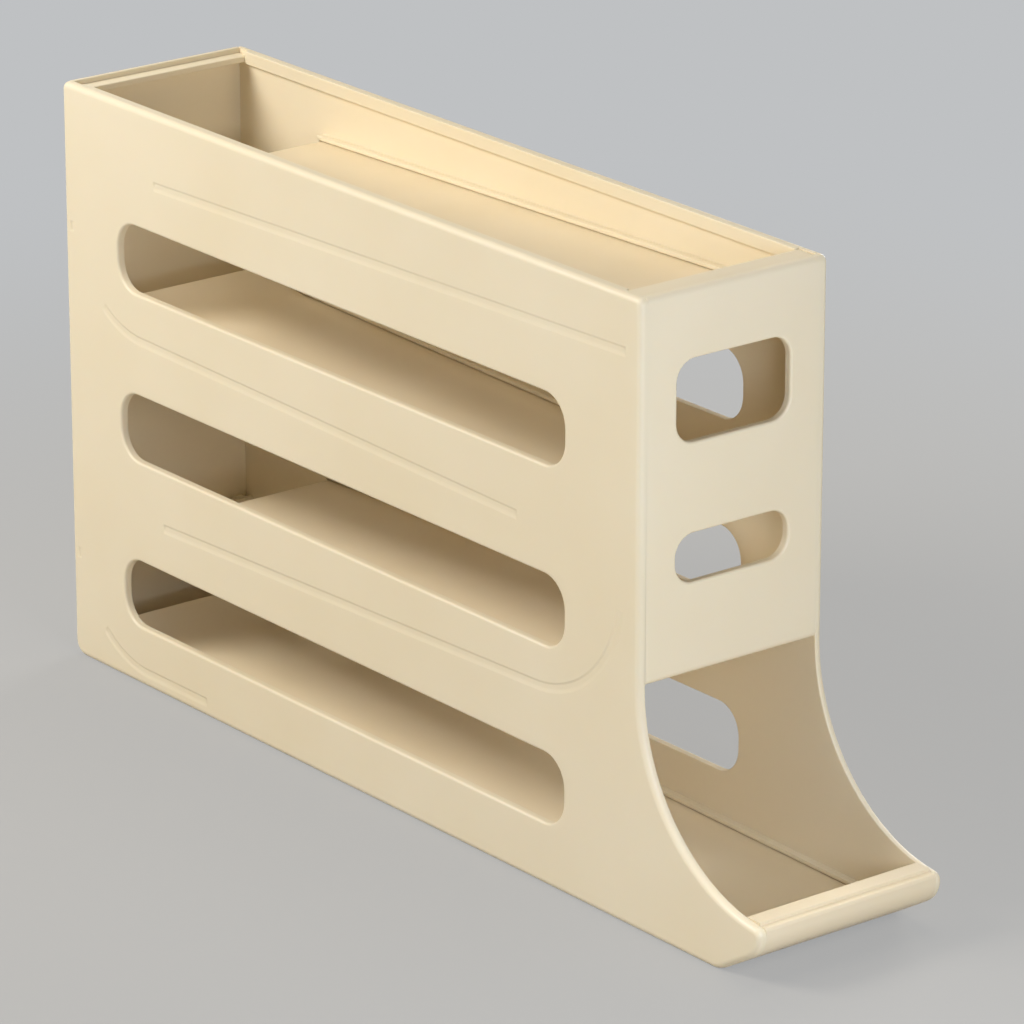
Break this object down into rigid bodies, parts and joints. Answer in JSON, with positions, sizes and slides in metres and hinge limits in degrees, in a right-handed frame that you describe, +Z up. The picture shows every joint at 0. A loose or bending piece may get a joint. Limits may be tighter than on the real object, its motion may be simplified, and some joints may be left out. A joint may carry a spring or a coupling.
{
  "type": "egg holder",
  "caption": "Tall, narrow open-topped rack whose sloping lanes zigzag down inside, so that eggs laid in the top tray roll down to a dispensing tray in front",
  "frame": {"origin": "middle of the footprint, on the surface that the holder stands on", "axes": "+X towards the dispensing tray, +Y towards the far side panel, +Z up"},
  "size_m": [0.4026, 0.082, 0.226],
  "materials": {
    "shell": "cream moulded polypropylene with a fine satin surface",
    "floor": "cream moulded polypropylene, a shade warmer, smooth on its upper side"
  },
  "bodies": {
    "root": {"near_side_panel": "shell", "far_side_panel": "shell", "front_panel": "shell", "back_panel": "shell", "top_lane_floor": "floor", "second_lane_floor": "floor", "third_lane_floor": "floor", "dispensing_tray": "floor"}
  },
  "joints": []
}
